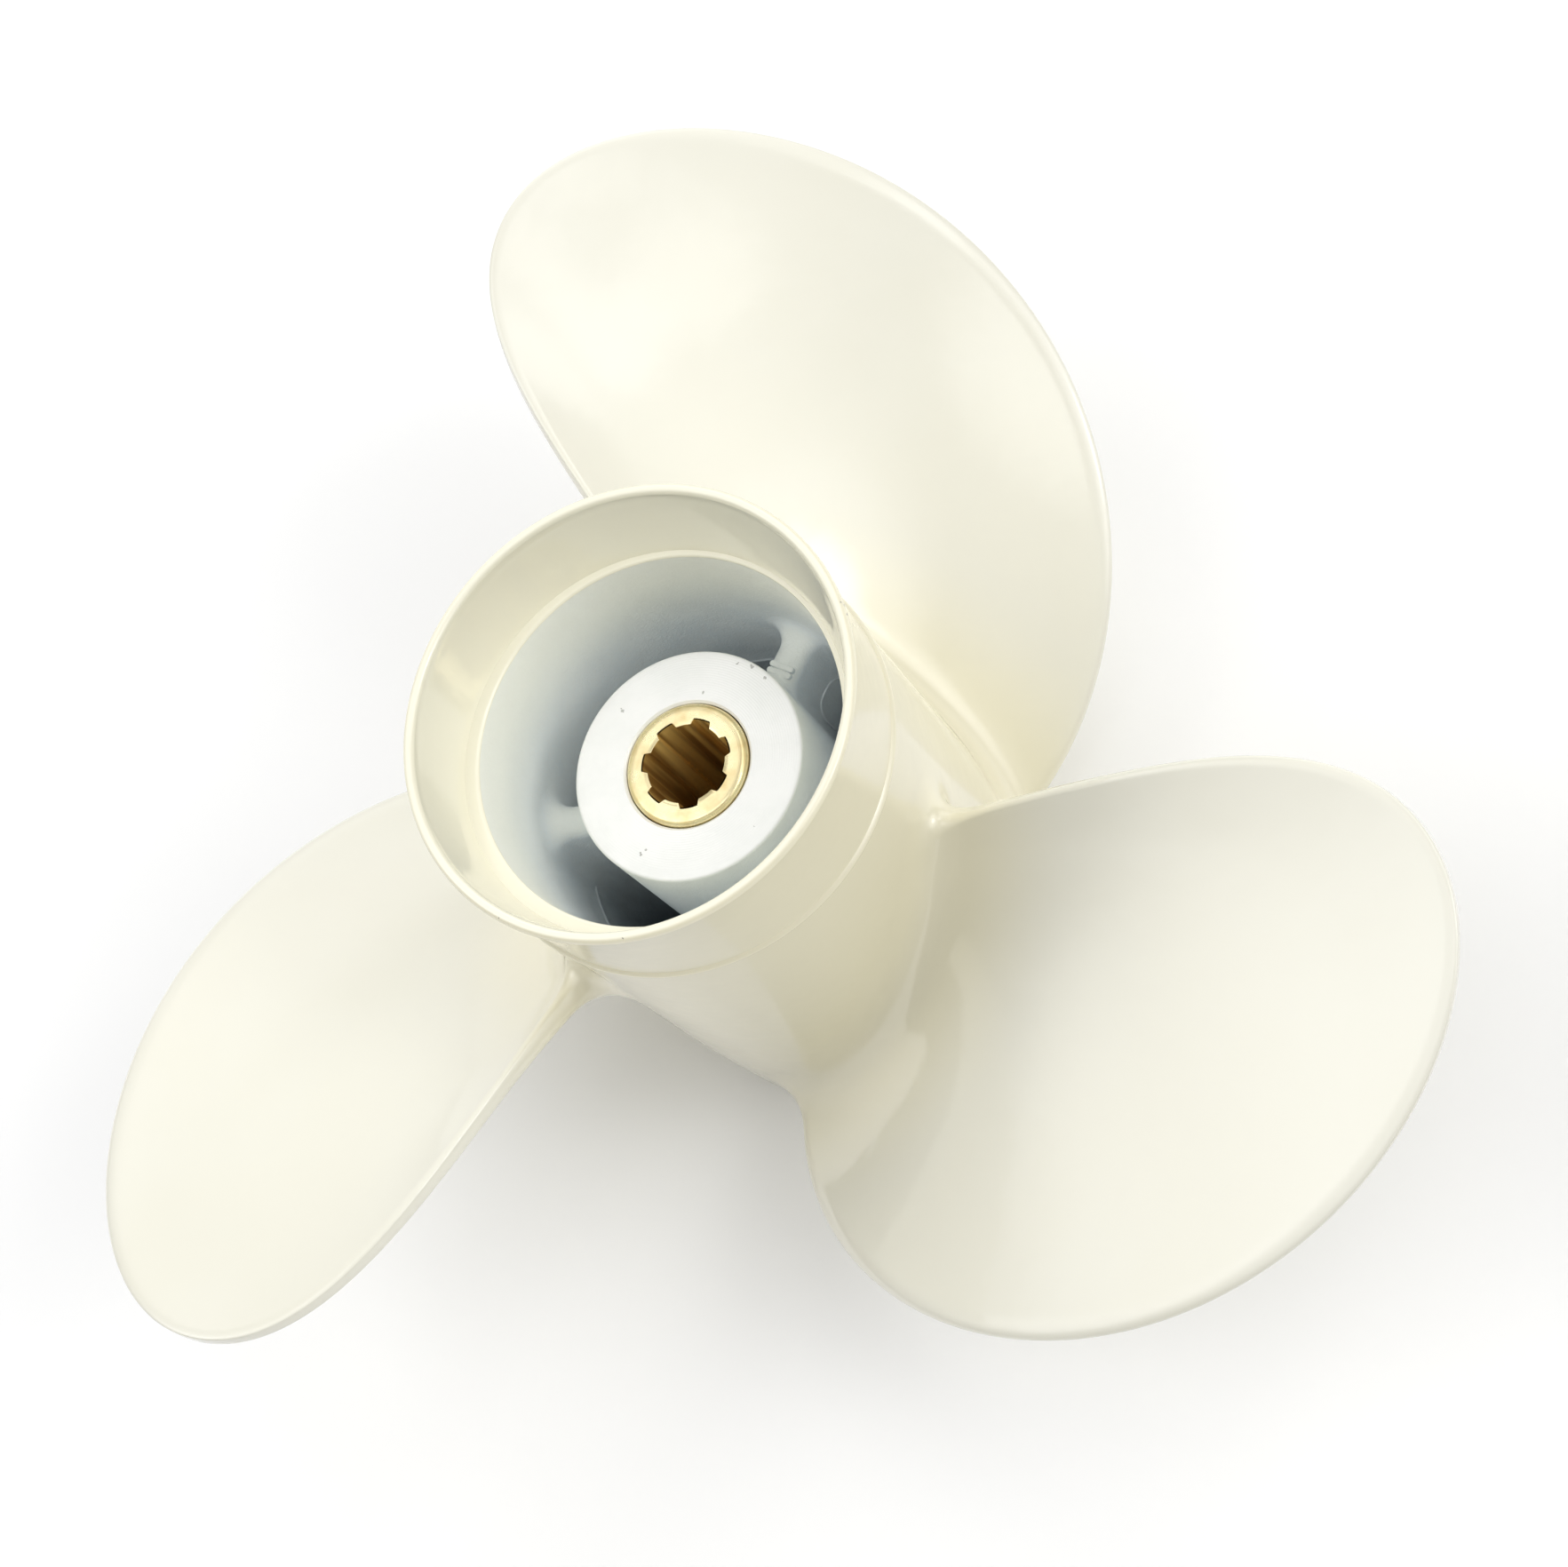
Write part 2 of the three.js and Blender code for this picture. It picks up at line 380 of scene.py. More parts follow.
def on_circle(angle, radius, height, size):
    """A spot of that size, at an angle in degrees round the shaft axis."""
    turn = math.radians(angle)
    return (radius * math.cos(turn), radius * math.sin(turn), height, size)


CREAM = (0.79, 0.775, 0.675, 1)
CREAM_DEEP = (0.78, 0.762, 0.655, 1)
CREAM_PAINTED_LIGHT = (0.90, 0.87, 0.705, 1)
CREAM_PAINTED_SHADE = (0.85, 0.805, 0.61, 1)
OVERSPRAY_AND_PAINTED_LIGHT = (0.92, 0.935, 0.86, 1)
CHIP = (0.30, 0.28, 0.24, 1)
ALUMINIUM = (0.89, 0.935, 0.945, 1)
ALUMINIUM_DARK = (0.80, 0.865, 0.90, 1)
ALUMINIUM_PAINTED_SHADE = (0.34, 0.40, 0.44, 1)
TURNED_ALUMINIUM = (0.875, 0.88, 0.87, 1)
TURNED_SHADE = (0.80, 0.815, 0.80, 1)
NICK = (0.50, 0.50, 0.48, 1)
BRASS = (0.88, 0.775, 0.47, 1)
BRASS_DARK = (0.64, 0.43, 0.14, 1)
BORE_GOLD = (0.88, 0.62, 0.20, 1)
BORE_SHADE = (0.32, 0.17, 0.04, 1)
RUBBER = (0.018, 0.018, 0.019, 1)
RUBBER_BLOOM = (0.06, 0.06, 0.058, 1)


def gloss_paint():
    """Cream sprayed enamel: wavy, with painted shade as a warmer cream on the barrel and at the blades'
    roots, painted light as a brighter cream inside the ring, and chipped on the lip.
    """
    finish = Finish("gloss_paint")
    drift = finish.ramp(finish.noise(38, 2.0), 0.35, 0.65)
    colour = finish.mix(drift, CREAM, CREAM_DEEP)
    # painted shade: the barrel and the corners at the blades' roots get a warmer, deeper cream that
    # stands for the warm shade there
    painted_shade_mask = finish.ramp(finish.radius(), BARREL_RADIUS + 1, BARREL_RADIUS + 22, 1.0, 0.0)
    colour = finish.mix(painted_shade_mask, colour, CREAM_PAINTED_SHADE)
    # painted light: a brighter cream inside the ring, on the inner side of a wall that leans outwards,
    # lightens the cone
    lean = 0.2
    wall_middle = (THROAT_RADIUS + BARREL_RADIUS) / 2 - lean * THROAT_HEIGHT
    upright = finish.maths("MULTIPLY_ADD", finish.height, -lean, finish.radius())
    inner = finish.ramp(upright, wall_middle, wall_middle + 0.4, 1.0, 0.0)
    above_step = finish.ramp(finish.height, STEP_HEIGHT - 1, STEP_HEIGHT)
    colour = finish.mix(finish.maths("MULTIPLY", inner, above_step), colour, CREAM_PAINTED_LIGHT)
    chips = finish.spots([
        on_circle(22.2, LIP_RADIUS - 0.35, HUB_LENGTH - 0.45, 0.3),
        on_circle(21.4, LIP_RADIUS - 0.15, HUB_LENGTH - 0.75, 0.26),
        on_circle(19.0, LIP_RADIUS - 0.05, HUB_LENGTH - 0.85, 0.18),
        on_circle(-85.0, LIP_RADIUS - 0.45, HUB_LENGTH - 0.25, 0.2),
        on_circle(-118.0, LIP_RADIUS - 0.45, HUB_LENGTH - 0.25, 0.16),
    ])
    colour = finish.mix(chips, colour, CHIP)
    speckle = finish.noise(0.9, 2.0)
    finish.set(Base_Color=colour, Roughness=finish.maths("MULTIPLY_ADD", speckle, 0.12, 0.34))
    finish.set(Coat_Weight=1.0, Coat_Roughness=0.06, Coat_IOR=1.5)
    waves = finish.bump(finish.noise(4.0, 1.0), 0.03)
    peel = finish.bump(finish.noise(1.1, 2.0), 0.004, waves)
    chipped = finish.bump(finish.maths("MULTIPLY", chips, -1.0), 0.15, peel)
    finish.set(Normal=chipped, Coat_Normal=chipped)
    return finish.material


def bare_casting():
    """Unpainted sand-cast aluminium, darker towards its forward end as painted shade deep in the
    passages.

    Overspray has drifted onto the aft part of the bore and onto what faces aft; its pale cream is also
    painted light there, where light falls in from aft.
    """
    finish = Finish("bare_casting")
    patches = finish.noise(9, 4.0)
    grain = finish.noise(0.45, 3.0, 0.65)
    metal = finish.mix(finish.ramp(patches, 0.3, 0.7), ALUMINIUM, ALUMINIUM_DARK)
    metal = finish.mix(finish.ramp(grain, 0.35, 0.75, 0.0, 0.45), metal, TURNED_ALUMINIUM)
    # painted shade: the metal darkens towards the forward end, deep in the passages
    metal = finish.mix(finish.ramp(finish.height, 14, 58, 1.0, 0.0), metal, ALUMINIUM_PAINTED_SHADE)
    facing = finish.tree.nodes.new("ShaderNodeNewGeometry").outputs["Normal"]
    parts = finish.tree.nodes.new("ShaderNodeSeparateXYZ")
    finish.link(facing, parts.inputs[0])
    # overspray and painted light: the aft part of the bore and what faces aft turn pale cream
    wall = finish.ramp(finish.height, 58, 80, 0.0, 0.95)
    shelf = finish.maths("MULTIPLY", finish.ramp(parts.outputs["Z"], 0.1, 0.9),
                         finish.ramp(finish.height, 40, 62, 0.0, 0.7))
    spray_and_painted_light = finish.maths("MAXIMUM", wall, shelf)
    spray_and_painted_light = finish.maths("MULTIPLY", spray_and_painted_light, finish.ramp(patches, 0.1, 0.6, 0.75, 1.0))
    finish.set(Base_Color=finish.mix(spray_and_painted_light, metal, OVERSPRAY_AND_PAINTED_LIGHT))
    finish.set(Roughness=finish.maths("MULTIPLY_ADD", grain, 0.2, 0.42))
    sand = finish.bump(grain, 0.09, finish.bump(patches, 0.25))
    finish.set(Normal=sand)
    return finish.material


def turned_face():
    """The inner hub's faced end: pale, faintly ringed by the tool, with a few nicks."""
    finish = Finish("turned_face")
    rings = finish.maths("SINE", finish.maths("MULTIPLY", finish.radius(), 2 * math.pi / 0.35))
    wander = finish.noise(6, 4.0)
    nicks = finish.spots([
        on_circle(140.2, 13.7, HUB_END, 0.22),
        on_circle(139.6, 13.4, HUB_END, 0.18),
        on_circle(-115.0, 13.8, HUB_END, 0.26),
        on_circle(-113.5, 13.0, HUB_END, 0.2),
        on_circle(81.0, 10.6, HUB_END, 0.26),
        on_circle(-42.5, 14.2, HUB_END, 0.16),
        on_circle(48.0, 15.9, HUB_END, 0.24),
        on_circle(58.0, 16.1, HUB_END, 0.3),
        on_circle(66.0, 15.8, HUB_END, 0.2),
    ])
    colour = finish.mix(finish.ramp(wander, 0.35, 0.7, 0.0, 0.5), TURNED_ALUMINIUM, TURNED_SHADE)
    finish.set(Base_Color=finish.mix(nicks, colour, NICK), Metallic=0.2)
    finish.set(Roughness=finish.maths("MULTIPLY_ADD", wander, 0.25, 0.3))
    tool = finish.bump(rings, 0.004, finish.bump(finish.noise(0.5), 0.015))
    finish.set(Normal=finish.bump(finish.maths("MULTIPLY", nicks, -1.0), 0.05, tool))
    return finish.material


def flash_metal():
    """The thin flash that was squeezed between two cores, rubbed bright."""
    finish = Finish("flash_metal")
    grain = finish.noise(0.3, 3.0)
    finish.set(Base_Color=finish.mix(grain, TURNED_ALUMINIUM, ALUMINIUM_DARK), Metallic=0.2)
    finish.set(Roughness=finish.maths("MULTIPLY_ADD", grain, 0.2, 0.3))
    finish.set(Normal=finish.bump(grain, 0.03))
    return finish.material


def brass():
    """Turned brass, darker where it has tarnished."""
    finish = Finish("brass")
    rings = finish.maths("SINE", finish.maths("MULTIPLY", finish.radius(), 2 * math.pi / 0.22))
    tarnish_and_painted_light = finish.noise(3.5, 4.0)
    colour = finish.mix(finish.ramp(tarnish_and_painted_light, 0.4, 0.8, 0.0, 0.6), BRASS, BRASS_DARK)
    finish.set(Base_Color=colour, Metallic=1.0)
    finish.set(Roughness=finish.maths("MULTIPLY_ADD", tarnish_and_painted_light, 0.25, 0.16))
    finish.set(Normal=finish.bump(rings, 0.002, finish.bump(finish.noise(0.35), 0.008)))
    return finish.material


def broached_brass():
    """The bore of the sleeve, scored lengthwise by the broach, with lengthwise bands of painted highlight
    and shade.
    """
    finish = Finish("broached_brass")
    lengthwise = finish.vector("MULTIPLY", finish.point, (1, 1, 0.04))
    scores = finish.noise(0.25, 3.0, 0.6, lengthwise)
    # painted highlight and shade: lengthwise bands of bright gold and dark brown stand for lit lands and
    # shaded grooves
    tarnish_and_painted_light = finish.noise(2.6, 2.0, 0.5, lengthwise)
    colour = finish.mix(finish.ramp(tarnish_and_painted_light, 0.42, 0.6), BORE_GOLD, BORE_SHADE)
    finish.set(Base_Color=colour, Metallic=0.5)
    finish.set(Roughness=finish.maths("MULTIPLY_ADD", scores, 0.2, 0.3))
    finish.set(Normal=finish.bump(scores, 0.02))
    return finish.material


def rubber():
    """Moulded black rubber with a dusty bloom."""
    finish = Finish("rubber")
    bloom = finish.noise(2.5, 5.0)
    finish.set(Base_Color=finish.mix(finish.ramp(bloom, 0.45, 0.8, 0.0, 0.7), RUBBER, RUBBER_BLOOM))
    finish.set(Roughness=finish.maths("MULTIPLY_ADD", bloom, 0.25, 0.6))
    finish.set(Normal=finish.bump(finish.noise(0.3, 2.0), 0.02))
    return finish.material


PAINT = gloss_paint()
CASTING = bare_casting()
TURNED = turned_face()
FLASH = flash_metal()
SLEEVE_BRASS = brass()
BORE_BRASS = broached_brass()
BUSH_RUBBER = rubber()


# ---------------------------------------------------------------- hub

def barrel_outside(height):
    """Outside radius of the barrel, which narrows towards its forward end."""
    short = np.maximum(1 - np.asarray(height) / TAPER_LENGTH, 0)
    return BARREL_RADIUS - (BARREL_RADIUS - FORWARD_RADIUS) * short ** 2


def swell(height, middle, half_width):
    """A rounded bump from 0 to 1 about a height."""
    away = min(abs(height - middle) / half_width, 1)
    return math.cos(math.pi / 2 * away) ** 2


def shifted(radius, share):
    """A radius round the axis with that share of the core's shift to one side."""
    return lambda turn: radius + share * CORE_SHIFT * np.cos(turn - math.radians(CORE_SHIFT_TURN))


def hub_skin():
    """Outline of the barrel and diffuser ring: up the outside, over the lip and down the inside."""
    outline = [(RECESS_RADIUS + RECESS_CHAMFER, 0)]
    outline += arc(FORWARD_RADIUS - EDGE_ROUND, EDGE_ROUND, EDGE_ROUND, -90, 0, 6)
    for height in np.linspace(EDGE_ROUND, TAPER_LENGTH, 14)[1:]:
        outline.append((float(barrel_outside(height)), height))
    for height in np.linspace(TAPER_LENGTH, RIDGE_HEIGHT - RIDGE_HALF_WIDTH, 8)[1:-1]:
        outline.append((BARREL_RADIUS, height))
    for height in RIDGE_HEIGHT + RIDGE_HALF_WIDTH * np.linspace(-1, 1, 17):
        rise = RIDGE_RISE * math.sqrt(swell(height, RIDGE_HEIGHT, RIDGE_HALF_WIDTH))
        outline.append((BARREL_RADIUS + rise, height))
    bead_radius = LIP_RADIUS - LIP_BEAD
    bead_height = HUB_LENGTH - LIP_BEAD
    flare_start = RIDGE_HEIGHT + RIDGE_HALF_WIDTH
    flare_end = bead_height + LIP_BEAD * math.sin(math.radians(LIP_START))
    flare = bead_radius + LIP_BEAD * math.cos(math.radians(LIP_START)) - BARREL_RADIUS
    for share in np.linspace(0, 1, 14)[1:-1]:
        height = flare_start + (flare_end - flare_start) * share
        outline.append((BARREL_RADIUS + flare * share ** 2, height))
    outline += arc(bead_radius, bead_height, LIP_BEAD, LIP_START, LIP_END, 26)
    cone_start = bead_radius - LIP_BEAD
    for share in np.linspace(0, 1, 12)[1:]:
        radius = cone_start + (THROAT_RADIUS - cone_start) * share
        height = bead_height + (THROAT_HEIGHT - bead_height) * share
        outline.append((shifted(radius + CONE_HOLLOW * math.sin(math.pi * share), share), height))
    ledge = THROAT_RADIUS - BORE_RADIUS
    for radius, height in arc(BORE_RADIUS + STEP_ROUND, STEP_HEIGHT, STEP_ROUND, 90, 180, 8):
        outline.append((shifted(radius, (radius - BORE_RADIUS) / ledge), height))
    for height in np.linspace(STEP_HEIGHT, CORE_LINE_HEIGHT + CORE_LINE_HALF_WIDTH, 12)[1:-1]:
        outline.append((BORE_RADIUS, height))
    for height in CORE_LINE_HEIGHT + CORE_LINE_HALF_WIDTH * np.linspace(1, -1, 9):
        rise = CORE_LINE_RISE * swell(height, CORE_LINE_HEIGHT, CORE_LINE_HALF_WIDTH)
        outline.append((BORE_RADIUS - rise, height))
    bore_end = RECESS_DEPTH + RECESS_CHAMFER
    for height in np.linspace(CORE_LINE_HEIGHT - CORE_LINE_HALF_WIDTH, bore_end, 10)[1:]:
        outline.append((BORE_RADIUS, height))
    outline += [(BORE_RADIUS + RECESS_CHAMFER, RECESS_DEPTH), (RECESS_RADIUS, RECESS_DEPTH)]
    outline += [(RECESS_RADIUS, RECESS_CHAMFER)]
    return outline


def skin_finish(centre, normal):
    """0 for paint; 1 for bare metal, inside the bore below the step."""
    inside = centre.xy.length < RECESS_RADIUS + RECESS_CHAMFER / 6
    return 1 if inside and centre.z < STEP_HEIGHT else 0


piece("hub_skin", ring_rows(hub_skin(), 600), True, [PAINT, CASTING], "casting",
      ["hub_barrel", "diffuser_ring"], skin_finish)


def inner_hub_outline():
    """A cup over the bush, with a faced aft end."""
    outline = [(BUSH_BORE + BUSH_BORE_CHAMFER, HUB_START)]
    outline += arc(HUB_RADIUS - EDGE_ROUND, HUB_START + EDGE_ROUND, EDGE_ROUND, -90, 0, 5)
    for height in np.linspace(HUB_START + EDGE_ROUND, HUB_END - HUB_EDGE, 16)[1:-1]:
        outline.append((HUB_RADIUS, height))
    outline += arc(HUB_RADIUS - HUB_EDGE, HUB_END - HUB_EDGE, HUB_EDGE, 0, 90, 5)
    for radius in np.linspace(HUB_RADIUS - HUB_EDGE, SLEEVE_HOLE + HOLE_CHAMFER, 8)[1:]:
        outline.append((radius, HUB_END))
    outline += [(SLEEVE_HOLE, HUB_END - HOLE_CHAMFER), (SLEEVE_HOLE, HUB_END - HUB_WALL)]
    outline += [(BUSH_BORE, HUB_END - HUB_WALL), (BUSH_BORE, HUB_START + BUSH_BORE_CHAMFER)]
    return outline


def hub_finish(centre, normal):
    """0 for the casting; 1 for the faced end."""
    return 1 if normal.z > 0.6 and centre.z > HUB_END - HUB_EDGE else 0


piece("inner_hub_skin", ring_rows(inner_hub_outline(), 240), True, [CASTING, TURNED], "casting",
      ["inner_hub"], hub_finish)


# ---------------------------------------------------------------- ribs

def fillet_rise(distance, size):
    """How far a fillet stands off its surface at a distance from the wall that it runs into."""
    near = np.clip(1 - np.asarray(distance) / size, 0, 1)
    return size * (1 - np.sqrt(1 - near ** 2))


def rib_spread(radius):
    """How far a rib's fillets widen it at a radius."""
    return (fillet_rise(max(radius - HUB_RADIUS, 0), RIB_FILLET)
            + fillet_rise(max(BORE_RADIUS - radius, 0), RIB_FILLET))


def rib_rows():
    """A rib along +X: rows of its cross-section from inside the hub's wall to inside the barrel's."""
    inner = HUB_RADIUS - RIB_SINK
    outer = BORE_RADIUS + RIB_SINK
    shares = (1 - np.cos(np.linspace(0, math.pi, 41))) / 2
    turns = np.linspace(0, math.pi, 25)
    rows = []
    for radius in inner + (outer - inner) * shares:
        spread = rib_spread(radius)
        half = RIB_THICKNESS / 2 + spread
        crown = half * RIB_CROWN
        aft_end = RIB_END + spread
        forward_end = RIB_START - 0.4 * spread
        outline = [(half * math.cos(t), aft_end - crown * (1 - math.sin(t))) for t in turns]
        outline += [(-half * math.cos(t), forward_end + crown * (1 - math.sin(t))) for t in turns]
        rows.append(np.array([
            (radius * math.cos(across / radius), radius * math.sin(across / radius), height)
            for across, height in outline
        ]))
    return rows


for index in range(RIB_COUNT):
    angle = RIB_TURN + index * 360 / RIB_COUNT
    rows = [turned(row, angle) for row in rib_rows()]
    name = f"rib_{index + 1}"
    piece(f"{name}_skin", rows, False, [CASTING], "casting", [name])


def gate_mark(name, radius):
    """A low rounded bar across the aft end of the first rib, with its foot sunk into the rib."""
    corner = 0.38
    foot = -0.6
    rise = GATE_MARK_RISE
    rows = []
    for level, inset in ((foot, 0.0), (rise * 0.6, 0.0), (rise * 0.9, 0.08), (rise, 0.25)):
        reach = corner - inset
        outline = []
        for quarter in range(4):
            across = (GATE_MARK_WIDTH / 2 - corner) * (1 if quarter in (0, 3) else -1)
            along = (GATE_MARK_DEPTH / 2 - corner) * (1 if quarter in (0, 1) else -1)
            for turn in np.radians(90 * quarter + np.linspace(0, 90, 5)):
                outline.append((radius + along + reach * math.sin(turn),
                                across + reach * math.cos(turn), RIB_END + level))
        rows.append(turned(np.array(outline), RIB_TURN))
    piece(name, rows, False, [CASTING], "casting", [])


for name, radius in GATE_MARKS.items():
    gate_mark(name, radius)


def core_line():
    """The flash where two cores met, a thin cord that arches over one side of the first rib."""
    centre_radius, centre_height = ARCH_PLACE
    route = [(centre_radius + ARCH_RADIUS, centre_height - ARCH_LEG)]
    route += arc(centre_radius, centre_height, ARCH_RADIUS, 0, 180, 24)
    route += [(centre_radius - ARCH_RADIUS + 0.3, centre_height - ARCH_LEG)]
    rows = []
    for radius, height in route:
        across = -(RIB_THICKNESS / 2 + float(rib_spread(radius)))
        outward = np.array([radius - centre_radius, height - min(centre_height, height)])
        outward = outward / (np.linalg.norm(outward) or 1)
        ring = []
        for turn in np.linspace(0, 2 * math.pi, 8, endpoint=False):
            push = outward * ARCH_THICKNESS * math.cos(turn)
            ring.append((radius + push[0], across + ARCH_THICKNESS * math.sin(turn), height + push[1]))
        rows.append(turned(np.array(ring), RIB_TURN))
    piece("core_line", rows, False, [FLASH], "casting", [])


core_line()


# ---------------------------------------------------------------- bush and sleeve

def bush_outline():
    """The bush: both moulded ends have a rounded hollow between two rims."""
    inner = SLEEVE_RADIUS + TOUCH
    outer = BUSH_BORE - TOUCH
    middle = (SLEEVE_RADIUS + BUSH_RADIUS) / 2
    rim = 0.5
    reach = (BUSH_RADIUS - SLEEVE_RADIUS) / 2 - rim
    dish = 1.5
    shares = np.linspace(-1, 1, 15)
    outline = [(inner, BUSH_START)]
    outline += [(middle + reach * s, BUSH_START + dish * math.cos(math.pi / 2 * s)) for s in shares]
    outline += [(outer - BUSH_CHAMFER, BUSH_START), (outer, BUSH_START + BUSH_CHAMFER)]
    outline += [(outer, BUSH_END - BUSH_CHAMFER), (outer - BUSH_CHAMFER, BUSH_END)]
    outline += [(middle - reach * s, BUSH_END - dish * math.cos(math.pi / 2 * s)) for s in shares]
    outline += [(inner, BUSH_END)]
    return outline


piece("bush_skin", ring_rows(bush_outline(), 180), True, [BUSH_RUBBER], "splined_hub",
      ["rubber_bush"])


def spline_radius(grow):
    """Radius of the splined bore at any angle, grown by a chamfer. Its grooves have sloping sides."""
    def radius(turn):
        step = 2 * math.pi / SPLINE_TEETH
        shift = (turn - math.radians(GROOVE_TURN) + step / 2) % step - step / 2
        across = np.abs(shift) * (SPLINE_MAJOR + SPLINE_MINOR) / 2
        share = np.clip((GROOVE_MOUTH / 2 - across) / ((GROOVE_MOUTH - GROOVE_FLOOR) / 2), 0, 1)
        eased = share * 0.6 + 0.4 * share ** 2 * (3 - 2 * share)
        return SPLINE_MINOR + (SPLINE_MAJOR - SPLINE_MINOR) * eased + grow
    return radius


def sleeve_rings():
    """The sleeve: up the outside, over the rounded aft end, and down the broached bore."""
    rings = [(SLEEVE_RADIUS - SLEEVE_CHAMFER, SLEEVE_START)]
    rings += [(SLEEVE_RADIUS, SLEEVE_START + SLEEVE_CHAMFER)]
    rings += [(SLEEVE_RADIUS, height) for height in np.linspace(SLEEVE_START + 8, SLEEVE_END - 8, 6)]
    rings += arc(SLEEVE_RADIUS - SLEEVE_CHAMFER, SLEEVE_END - SLEEVE_CHAMFER, SLEEVE_CHAMFER, 0, 78, 8)
    rings += [(SLEEVE_RADIUS - SLEEVE_CHAMFER - 0.35, SLEEVE_END)]
    rings += [(radius, SLEEVE_END) for radius in (7.4, 6.8, 6.4)]
    rings += [(spline_radius(SPLINE_CHAMFER), SLEEVE_END), (spline_radius(0.04), SLEEVE_END - 0.06)]
    for height in np.linspace(SLEEVE_END - 0.2, SLEEVE_START + 0.2, 14):
        rings.append((spline_radius(0), height))
    rings += [(spline_radius(SPLINE_CHAMFER), SLEEVE_START), (6.4, SLEEVE_START), (7.2, SLEEVE_START)]
    return rings


def sleeve_finish(centre, normal):
    """0 for the turned outside and ends; 1 for the broached bore."""
    return 1 if centre.xy.length < SPLINE_MAJOR + 0.01 and abs(normal.z) < 0.3 else 0


piece("sleeve_skin", ring_rows(sleeve_rings(), SPLINE_TEETH * 84), True, [SLEEVE_BRASS, BORE_BRASS],
      "splined_hub", ["splined_sleeve"], sleeve_finish)


# ---------------------------------------------------------------- blades

def grow(along, offset, distance):
    """Moves a closed section outwards along its normals."""
    along_step = np.roll(along, -1) - np.roll(along, 1)
    offset_step = np.roll(offset, -1) - np.roll(offset, 1)
    length = np.maximum(np.hypot(along_step, offset_step), 1e-9)
    return along + distance * offset_step / length, offset - distance * along_step / length


def blade_section(reach, columns, fillet=0.0, sink=0.0):
    """One closed section of the first blade: from its leading edge along the back, home along the face.

    reach goes from 0 at the barrel to 1 at the tip. fillet grows the section outwards, and sink
    lowers it into the barrel's wall.
    """
    radius = BARREL_RADIUS + (TIP_RADIUS - BARREL_RADIUS) * reach
    quarter = math.asin(min(reach ** (SPAN_POWER / 2), 1))
    narrow = math.cos(quarter)
    slope = math.atan(PITCH / (2 * math.pi * radius))
    # the chord narrows like the quarter of an ellipse, and across goes from -1 at the leading edge to 1
    index = np.arange(2 * columns)
    across = -np.cos(math.pi * index / columns)
    trailing = np.clip(0.5 + 1.5 * across * narrow, 0, 1)
    trailing = trailing ** 2 * (3 - 2 * trailing)
    root_gain = ROOT_EDGE_GAIN * trailing * max(1 - reach / ROOT_EDGE_GAIN_REACH, 0) ** 2

    def edge(key):
        return LEADING_EDGE[key] + (TRAILING_EDGE[key] - LEADING_EDGE[key]) * trailing

    half = edge("half") + root_gain
    # the edges turn round more gently near the barrel, so that the fillet can follow them
    near_root = max(1 - reach / ROOT_EDGE_LENGTH_REACH, 0) ** 2
    length = edge("length") + ROOT_EDGE_LENGTH * near_root
    round_share = edge("round") + (1 - edge("round")) * near_root
    fullness = 1 - across ** 2
    # the outline is close to half an ellipse, so a point's distance from the edge is taken from that
    root_half_chord = math.radians(ROOT_SPAN / 2) * BARREL_RADIUS * math.sqrt(2)
    height_share = math.sin(quarter) / (TIP_RADIUS - BARREL_RADIUS)
    steepness = np.hypot(across * narrow / root_half_chord, height_share)
    inset = narrow ** 2 * fullness / (2 * steepness + 1e-6)
    near = 1 - np.minimum(inset / length, 1)
    rounding = 1 - round_share * (1 - np.sqrt(1 - near ** 2))
    rounding = np.where(inset < 1e-7, 0, rounding)
    thickness = TIP_THICKNESS + (ROOT_THICKNESS - TIP_THICKNESS) * (1 - reach)
    cup = CUP_RISE * trailing * np.maximum(1 - inset / CUP_LENGTH, 0) ** 2
    face = half * rounding + cup
    back = cup - (half + np.maximum(thickness - 2 * half, 0) * fullness) * rounding
    offset = np.where(index > columns, face, back)
    middle = ROOT_MIDDLE + SKEW * (radius - BARREL_RADIUS)
    angles = np.radians(middle + across * ROOT_SPAN / 2 * narrow)
    along, offset = grow(angles * radius / math.cos(slope), offset, fillet)
    turn = (along * math.cos(slope) - offset * math.sin(slope)) / radius
    height = (DATUM_HEIGHT + RAKE * (radius - BARREL_RADIUS) + along * math.sin(slope)
              + offset * math.cos(slope))
    local = radius - (BARREL_RADIUS - barrel_outside(height)) * (1 - reach) ** 4 - sink
    return np.stack([local * np.cos(turn), local * np.sin(turn), height], 1)


def blade_rows():
    """A blade: a foot inside the barrel's wall, a fillet that leaves the barrel, and the blade itself."""
    columns, fillet_rows, body_rows = 180, 30, 84
    span = TIP_RADIUS - BARREL_RADIUS
    rows = [blade_section(0, columns, ROOT_FILLET + growth, sink) for growth, sink in FOOT_ROWS]
    for row in rows:
        row[:, 2] = np.maximum(row[:, 2], FOOT_LIMIT)
    for turn in np.linspace(0, math.pi / 2, fillet_rows, endpoint=False):
        rise = ROOT_FILLET * (1 - math.cos(turn) ** (2 / ROOT_FILLET_POWER))
        spread = ROOT_FILLET * (1 - math.sin(turn) ** (2 / ROOT_FILLET_POWER))
        rows.append(blade_section(rise / span, columns, spread, ROOT_SINK))
    start = math.asin((ROOT_FILLET / span) ** (SPAN_POWER / 2))
    for quarter in np.linspace(start, math.pi / 2, body_rows):
        rows.append(blade_section(min(math.sin(quarter) ** (2 / SPAN_POWER), 1), columns))
    return rows


